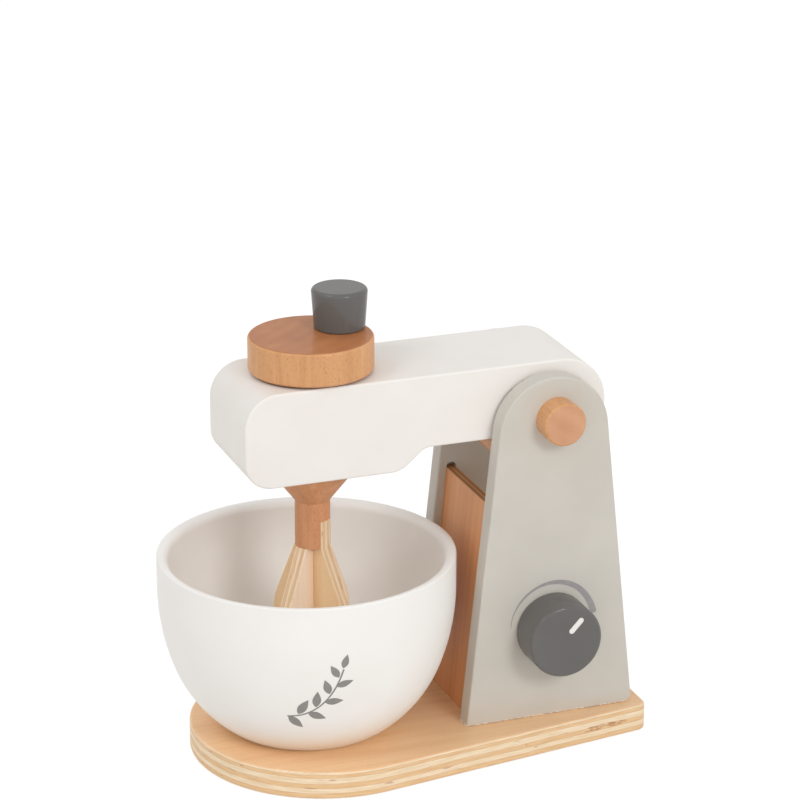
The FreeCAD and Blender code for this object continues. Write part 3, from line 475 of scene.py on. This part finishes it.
def dress(node):
    """Copy a node, join its loose triangles, ease its edges and shade its curves smooth."""
    mesh = frame["nodes"][node].data.copy()
    work = bmesh.new()
    work.from_mesh(mesh)
    bmesh.ops.remove_doubles(work, verts=work.verts, dist=NODE_MERGE * MM)
    if node in EASED_EDGE:
        bmesh.ops.dissolve_limit(work, angle_limit=math.radians(FLAT_ANGLE), verts=work.verts,
                                 edges=work.edges)
    sharp = math.radians(SHARP_ANGLE)
    for face in work.faces:
        face.smooth = True
    for edge in work.edges:
        edge.smooth = edge.is_manifold and edge.calc_face_angle(0.0) < sharp
    work.to_mesh(mesh)
    work.free()
    piece = new_piece("dressed_" + node, mesh, MATERIALS[FINISH_OF[node]])
    if node in EASED_EDGE:
        bevel = piece.modifiers.new("ease", "BEVEL")
        bevel.width = EASED_EDGE[node] * MM
        bevel.segments = 2
        bevel.limit_method = "ANGLE"
        bevel.angle_limit = sharp
        bevel.use_clamp_overlap = True
    weigh = piece.modifiers.new("weigh", "WEIGHTED_NORMAL")
    weigh.keep_sharp = True
    weigh.weight = 100
    apply_modifiers(piece)
    settle(piece, BODY_OF[node], SLOT_OF[node], node)
    return piece


dressed = {node: dress(node) for node in FINISH_OF}


def node_group(name, **inputs):
    """Start a Geometry Nodes tree, with a named input for each of its sizes."""
    tree = bpy.data.node_groups.new(name, "GeometryNodeTree")
    tree.interface.new_socket("Geometry", in_out="INPUT", socket_type="NodeSocketGeometry")
    tree.interface.new_socket("Geometry", in_out="OUTPUT", socket_type="NodeSocketGeometry")
    for label, kind in inputs.items():
        tree.interface.new_socket(label, in_out="INPUT", socket_type="NodeSocket" + kind)
    return tree, add(tree, "NodeGroupInput").outputs


def run_group(piece, tree, values):
    """Give the tree its values, run it on the piece and keep the plain mesh."""
    modifier = piece.modifiers.new(tree.name, "NODES")
    modifier.node_group = tree
    for item in tree.interface.items_tree:
        if item.in_out == "INPUT" and item.name in values:
            modifier[item.identifier] = values[item.name]
    apply_modifiers(piece)


def finish_group(tree, geometry, material):
    """End a tree with plain geometry in its material."""
    real = add(tree, "GeometryNodeRealizeInstances", {"Geometry": geometry})
    inked = add(tree, "GeometryNodeSetMaterial", {"Geometry": real, "Material": material})
    add(tree, "NodeGroupOutput", {"Geometry": inked})


def screw_group():
    """Countersunk screws with a cross recess, one at each point."""
    tree, given = node_group("countersunk_screws", head_radius="Float", shank_radius="Float",
                             length="Float", point="Float", material="Material")
    head_depth = add(tree, "ShaderNodeMath", {0: given["head_radius"], 1: given["shank_radius"]},
                     operation="SUBTRACT")
    head = add(tree, "GeometryNodeMeshCone", {
        "Vertices": 48, "Radius Top": given["shank_radius"], "Radius Bottom": given["head_radius"],
        "Depth": head_depth})
    wing = add(tree, "ShaderNodeMath", {0: given["head_radius"], 1: CROSS_REACH}, operation="MULTIPLY")
    web = add(tree, "ShaderNodeMath", {0: given["head_radius"], 1: CROSS_WEB}, operation="MULTIPLY")
    deep = add(tree, "ShaderNodeMath", {0: given["head_radius"], 1: CROSS_DEPTH}, operation="MULTIPLY")
    cutters = []
    for first, second in ((wing, web), (web, wing)):
        size = add(tree, "ShaderNodeCombineXYZ", {"X": first, "Y": second, "Z": deep})
        cutters.append(add(tree, "GeometryNodeMeshCube", {"Size": size}))
    cut = add(tree, "GeometryNodeMeshBoolean", {"Mesh 1": head}, operation="DIFFERENCE", solver="EXACT")
    for cutter in cutters:
        tree.links.new(cutter.outputs["Mesh"], cut.inputs["Mesh 2"])
    body_length = add(tree, "ShaderNodeMath", {0: given["length"], 1: given["point"]},
                      operation="SUBTRACT")
    shank_length = add(tree, "ShaderNodeMath", {0: body_length, 1: head_depth}, operation="SUBTRACT")
    half_length = add(tree, "ShaderNodeMath", {0: shank_length, 1: 0.5}, operation="MULTIPLY")
    shank_middle = add(tree, "ShaderNodeMath", {0: head_depth, 1: half_length}, operation="ADD")
    shank = add(tree, "GeometryNodeMeshCylinder", {
        "Vertices": 32, "Radius": given["shank_radius"], "Depth": shank_length})
    point = add(tree, "GeometryNodeMeshCone", {
        "Vertices": 32, "Radius Top": 0.0001, "Radius Bottom": given["shank_radius"],
        "Depth": given["point"]})
    whole = add(tree, "GeometryNodeJoinGeometry")
    tree.links.new(cut.outputs["Mesh"], whole.inputs["Geometry"])
    for part, height in ((shank, shank_middle), (point, body_length)):
        lift = add(tree, "ShaderNodeCombineXYZ", {"Z": height})
        moved = add(tree, "GeometryNodeTransform", {"Geometry": part, "Translation": lift})
        tree.links.new(moved.outputs["Geometry"], whole.inputs["Geometry"])
    placed = add(tree, "GeometryNodeInstanceOnPoints", {"Points": given["Geometry"], "Instance": whole})
    finish_group(tree, placed, given["material"])
    return tree


def place_screws():
    """Screws where the frame has them, two under each panel."""
    low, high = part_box("panel_screws")
    inset = SCREW_HEAD_RADIUS * MM
    spots = [(x, y, low.z) for x in (low.x + inset, high.x - inset) for y in (low.y + inset, high.y - inset)]
    mesh = bpy.data.meshes.new("screw_spots")
    mesh.from_pydata(spots, [], [])
    piece = new_piece("dressed_panel_screws", mesh, MATERIALS["screw_steel"])
    run_group(piece, screw_group(), {
        "head_radius": SCREW_HEAD_RADIUS * MM, "shank_radius": SCREW_SHANK_RADIUS * MM,
        "length": SCREW_LENGTH * MM, "point": SCREW_POINT * MM, "material": MATERIALS["screw_steel"]})
    settle(piece, BODY_OF["panel_screws"], SLOT_OF["panel_screws"], "panel_screws")


place_screws()


def sprig_group():
    """A stem that bends, with leaves on alternate sides and one at its tip, drawn flat in millimetres."""
    tree, given = node_group("printed_sprig", leaf_count="Int", leaf_length="Float", leaf_width="Float",
                             stem_width="Float", stem_length="Float", stem_bend="Float",
                             leaf_spread="Float", material="Material")
    half = add(tree, "ShaderNodeMath", {0: given["stem_length"], 1: 0.5}, operation="MULTIPLY")
    back = add(tree, "ShaderNodeMath", {0: half, 1: -1.0}, operation="MULTIPLY")
    start = add(tree, "ShaderNodeCombineXYZ", {"X": back, "Y": back})
    bend = add(tree, "ShaderNodeCombineXYZ", {"X": given["stem_bend"], "Y": back})
    end = add(tree, "ShaderNodeCombineXYZ", {"X": half, "Y": half})
    stem = add(tree, "GeometryNodeCurveQuadraticBezier", {
        "Resolution": 40, "Start": start, "Middle": bend, "End": end})
    # Stem: a ribbon that is as wide as a pen line.
    left = add(tree, "ShaderNodeCombineXYZ", {"X": given["stem_width"]})
    line = add(tree, "GeometryNodeCurvePrimitiveLine", {"Start": (0.0, 0.0, 0.0), "End": left})
    upright = add(tree, "GeometryNodeSetCurveNormal", {"Curve": stem}, mode="Z_UP")
    ribbon = add(tree, "GeometryNodeCurveToMesh", {"Curve": upright, "Profile Curve": line})
    # Leaf: a grid one unit long, narrowed to both of its ends.
    grid = add(tree, "GeometryNodeMeshGrid", {
        "Size X": 1.0, "Size Y": 1.0, "Vertices X": 15, "Vertices Y": 5})
    place = add(tree, "ShaderNodeSeparateXYZ", {"Vector": add(tree, "GeometryNodeInputPosition")})
    along = add(tree, "ShaderNodeMath", {0: place.outputs["X"], 1: 0.5}, operation="ADD")
    eased = add(tree, "ShaderNodeMath", {0: along, 1: 0.8}, operation="POWER")
    turned = add(tree, "ShaderNodeMath", {0: eased, 1: math.pi}, operation="MULTIPLY")
    swell = add(tree, "ShaderNodeMath", {0: turned}, operation="SINE")
    wide = add(tree, "ShaderNodeMath", {0: swell, 1: given["leaf_width"]}, operation="MULTIPLY")
    across = add(tree, "ShaderNodeMath", {0: place.outputs["Y"], 1: wide}, operation="MULTIPLY")
    length = add(tree, "ShaderNodeMath", {0: along, 1: given["leaf_length"]}, operation="MULTIPLY")
    clear = add(tree, "ShaderNodeMath", {0: length, 1: 0.7}, operation="ADD")
    shape = add(tree, "ShaderNodeCombineXYZ", {"X": clear, "Y": across})
    leaf = add(tree, "GeometryNodeSetPosition", {"Geometry": grid, "Position": shape})
    tidy = add(tree, "GeometryNodeMergeByDistance", {"Geometry": leaf, "Distance": 0.001})
    # Leaves: one at each point, to the left and right in turn, the last one straight on.
    points = add(tree, "GeometryNodeCurveToPoints", {"Curve": stem, "Count": given["leaf_count"]},
                 mode="COUNT")
    number = add(tree, "GeometryNodeInputIndex")
    last = add(tree, "ShaderNodeMath", {0: given["leaf_count"], 1: 1.0}, operation="SUBTRACT")
    share = add(tree, "ShaderNodeMath", {0: number, 1: last}, operation="DIVIDE")
    odd = add(tree, "ShaderNodeMath", {0: number, 1: 2.0}, operation="MODULO")
    side = add(tree, "ShaderNodeMapRange", {"Value": odd, "To Min": -1.0, "To Max": 1.0})
    inner = add(tree, "ShaderNodeMath", {0: number, 1: last}, operation="LESS_THAN")
    open_side = add(tree, "ShaderNodeMath", {0: side, 1: inner}, operation="MULTIPLY")
    lean = add(tree, "ShaderNodeMath", {0: open_side, 1: given["leaf_spread"]}, operation="MULTIPLY")
    tangent = add(tree, "ShaderNodeSeparateXYZ", {"Vector": points.outputs["Tangent"]})
    heading = add(tree, "ShaderNodeMath", {0: tangent.outputs["Y"], 1: tangent.outputs["X"]},
                  operation="ARCTAN2")
    turn = add(tree, "ShaderNodeMath", {0: heading, 1: lean}, operation="ADD")
    rotation = add(tree, "ShaderNodeCombineXYZ", {"Z": turn})
    size = add(tree, "ShaderNodeMapRange", {"Value": share, "To Min": 1.0, "To Max": 0.72})
    leaves = add(tree, "GeometryNodeInstanceOnPoints", {
        "Points": points.outputs["Points"], "Instance": tidy, "Rotation": rotation, "Scale": size})
    whole = add(tree, "GeometryNodeJoinGeometry")
    tree.links.new(ribbon.outputs["Mesh"], whole.inputs["Geometry"])
    tree.links.new(leaves.outputs["Instances"], whole.inputs["Geometry"])
    finish_group(tree, whole, given["material"])
    return tree


def film(piece, outward):
    """Turn every face of a flat print outward and give it the thickness of ink."""
    work = bmesh.new()
    work.from_mesh(piece.data)
    bmesh.ops.remove_doubles(work, verts=work.verts, dist=PRINT_MERGE * MM)
    work.normal_update()
    wrong = [face for face in work.faces if face.normal.dot(outward(face.calc_center_median())) < 0]
    bmesh.ops.reverse_faces(work, faces=wrong)
    work.to_mesh(piece.data)
    work.free()
    solid = piece.modifiers.new("film", "SOLIDIFY")
    solid.thickness = PRINT_FILM * MM
    solid.offset = 1.0
    apply_modifiers(piece)


def print_sprig():
    """Grey sprig on the bowl's side, laid on the curved surface."""
    piece = new_piece("printed_sprig", bpy.data.meshes.new("sprig"), MATERIALS["bowl_ink"])
    run_group(piece, sprig_group(), {**SPRIG_SIZES, "material": MATERIALS["bowl_ink"]})
    work = bmesh.new()
    work.from_mesh(dressed["bowl"].data)
    skin = BVHTree.FromBMesh(work)
    work.free()
    middle = middle_of("bowl")
    aim = Vector((middle.x, middle.y, SPRIG_AIM_HEIGHT * MM))
    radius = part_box("bowl")[1].x - middle.x
    heading = math.radians(SPRIG_HEADING)
    dip = math.atan2((SPRIG_HEIGHT - SPRIG_AIM_HEIGHT) * MM, radius)
    for vertex in piece.data.vertices:
        turn = heading + vertex.co.x * MM / (radius * math.cos(dip))
        rise = dip + vertex.co.y * MM / radius
        ray = Vector((math.cos(rise) * math.cos(turn), math.cos(rise) * math.sin(turn), math.sin(rise)))
        hit, normal, _, _ = skin.ray_cast(aim + ray * radius * 3, -ray)
        vertex.co = hit + normal * PRINT_LIFT * MM
    film(piece, lambda place: place - aim)
    settle(piece, "bowl", "dark_paint")


print_sprig()


def flat_print(name, material, rows, outward, body, slot):
    """Ink between two rows of points, as a strip of quads."""
    inner, outer = rows
    count = len(inner)
    faces = [(i, i + 1, count + i + 1, count + i) for i in range(count - 1)]
    mesh = bpy.data.meshes.new(name)
    mesh.from_pydata([tuple(point) for point in inner + outer], [], faces)
    piece = new_piece(name, mesh, material)
    film(piece, lambda place: outward)
    settle(piece, body, slot)
    return piece


def print_scale():
    """Crescent round the dial that widens clockwise, printed on the near panel."""
    middle = middle_of("dial_knob")
    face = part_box("dial_side_panel")[0].y - PRINT_LIFT * MM
    rows = ([], [])
    first = SCALE_EDGE[0][0]
    last = SCALE_EDGE[-1][0]
    for step in range(SCALE_STEPS + 1):
        angle = first + (last - first) * step / SCALE_STEPS
        start, end = next((a, b) for a, b in zip(SCALE_EDGE, SCALE_EDGE[1:]) if a[0] >= angle >= b[0])
        share = (start[0] - angle) / (start[0] - end[0])
        reach = start[1] + (end[1] - start[1]) * share
        width = start[2] + (end[2] - start[2]) * share
        near_end = 1.0 - min(1.0, (angle - last) / SCALE_END_ANGLE)
        trim = SCALE_END_ROUND * (1.0 - math.sqrt(1.0 - near_end ** 2))
        for row, length in zip(rows, (reach - width + trim, reach - trim)):
            along = math.cos(math.radians(angle)) * length
            up = math.sin(math.radians(angle)) * length
            row.append(Vector((middle.x + along * MM, face, middle.z + up * MM)))
    flat_print("printed_scale", MATERIALS["scale_ink"], rows, Vector((0, -1, 0)), "tower", "dark_paint")


def print_pointer():
    """White dash with round ends on the dial's face."""
    middle = middle_of("dial_knob")
    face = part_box("dial_knob")[0].y - PRINT_LIFT * MM
    start = Vector((POINTER_START[0], 0.0, POINTER_START[1]))
    end = Vector((POINTER_END[0], 0.0, POINTER_END[1]))
    along = (end - start).normalized()
    across = Vector((-along.z, 0.0, along.x))
    half = POINTER_WIDTH / 2
    length = (end - start).length
    turns = [math.pi / 2 * step / POINTER_END_STEPS for step in range(POINTER_END_STEPS + 1)]
    stations = []
    for angle in turns:
        stations.append((half * (1 - math.cos(angle)), half * math.sin(angle)))
    for angle in turns:
        stations.append((length - half + half * math.sin(angle), half * math.cos(angle)))
    origin = Vector((middle.x, face, middle.z)) + start * MM
    rows = [[origin + (along * reach + across * side * width) * MM for reach, width in stations]
            for side in (-1, 1)]
    flat_print("printed_pointer", MATERIALS["pointer_ink"], rows, Vector((0, -1, 0)), "dial", "white_paint")


print_scale()
print_pointer()


def seen_directly(tree):
    """1 for rays that the camera, a gloss or clear glass sends out, 0 for rays that carry light."""
    path = add(tree, "ShaderNodeLightPath").outputs
    first = add(tree, "ShaderNodeMath", {0: path["Is Camera Ray"], 1: path["Is Glossy Ray"]},
                operation="MAXIMUM")
    return add(tree, "ShaderNodeMath", {0: first, 1: path["Is Transmission Ray"]}, operation="MAXIMUM")


def set_stage():
    """Pale floor that keeps the shadow, and white all round."""
    material, tree, shader = start_material("pale studio floor", 0.9, Specular_IOR_Level=0.0)
    shader.inputs["Base Color"].default_value = linear(FLOOR_COLOUR)
    plain = add(tree, "ShaderNodeBsdfDiffuse", {"Color": linear(FLOOR_SHADE)})
    glow = add(tree, "ShaderNodeEmission", {"Strength": FLOOR_GLOW})
    lit = add(tree, "ShaderNodeAddShader", {0: plain, 1: glow})
    mixed = add(tree, "ShaderNodeMixShader", {0: seen_directly(tree), 1: shader, 2: lit})
    tree.links.new(mixed.outputs[0], tree.nodes["Material Output"].inputs["Surface"])
    half = FLOOR_HALF_SIDE
    level = -FLOOR_DROP * MM
    mesh = bpy.data.meshes.new("floor")
    corners = [(-half, -half, level), (half, -half, level), (half, half, level), (-half, half, level)]
    mesh.from_pydata(corners, [], [(0, 1, 2, 3)])
    new_piece("floor", mesh, material)

    world = bpy.data.worlds.new("studio")
    bpy.context.scene.world = world
    world.use_nodes = True
    tree = world.node_tree
    tree.nodes.clear()
    strength = add(tree, "ShaderNodeMapRange", {
        "Value": seen_directly(tree), "To Min": WORLD_LIGHT, "To Max": 1.0})
    sky = add(tree, "ShaderNodeBackground", {"Color": (1.0, 1.0, 1.0, 1.0), "Strength": strength})
    add(tree, "ShaderNodeOutputWorld", {"Surface": sky})


def set_lamps():
    """Soft lamps, each aimed at the middle of the toy."""
    middle = Vector((0.0, 0.0, LAMP_AIM_HEIGHT * MM))
    for name, (heading, rise, reach, size, power) in LAMPS.items():
        level = math.cos(math.radians(rise)) * reach
        place = middle + Vector((math.sin(math.radians(heading)) * level,
                                 -math.cos(math.radians(heading)) * level,
                                 math.sin(math.radians(rise)) * reach))
        data = bpy.data.lights.new(name, "AREA")
        data.shape = "SQUARE"
        data.size = size
        data.energy = power
        lamp = bpy.data.objects.new(name, data)
        lamp.location = place
        lamp.rotation_euler = (middle - place).to_track_quat("-Z", "Y").to_euler()
        bpy.context.scene.collection.objects.link(lamp)


def set_camera():
    """Camera at the photograph's viewing angle."""
    data = bpy.data.cameras.new("camera")
    data.sensor_width = SENSOR_WIDTH
    data.lens = FOCAL_PIXELS / FRAME_PIXELS * SENSOR_WIDTH
    camera = bpy.data.objects.new("camera", data)
    camera.location = CAMERA_PLACE
    camera.rotation_euler = (math.radians(90 - CAMERA_PITCH), 0.0, math.radians(CAMERA_YAW))
    bpy.context.scene.collection.objects.link(camera)
    bpy.context.scene.camera = camera


set_stage()
set_lamps()
set_camera()
bpy.context.scene.view_settings.view_transform = "Standard"
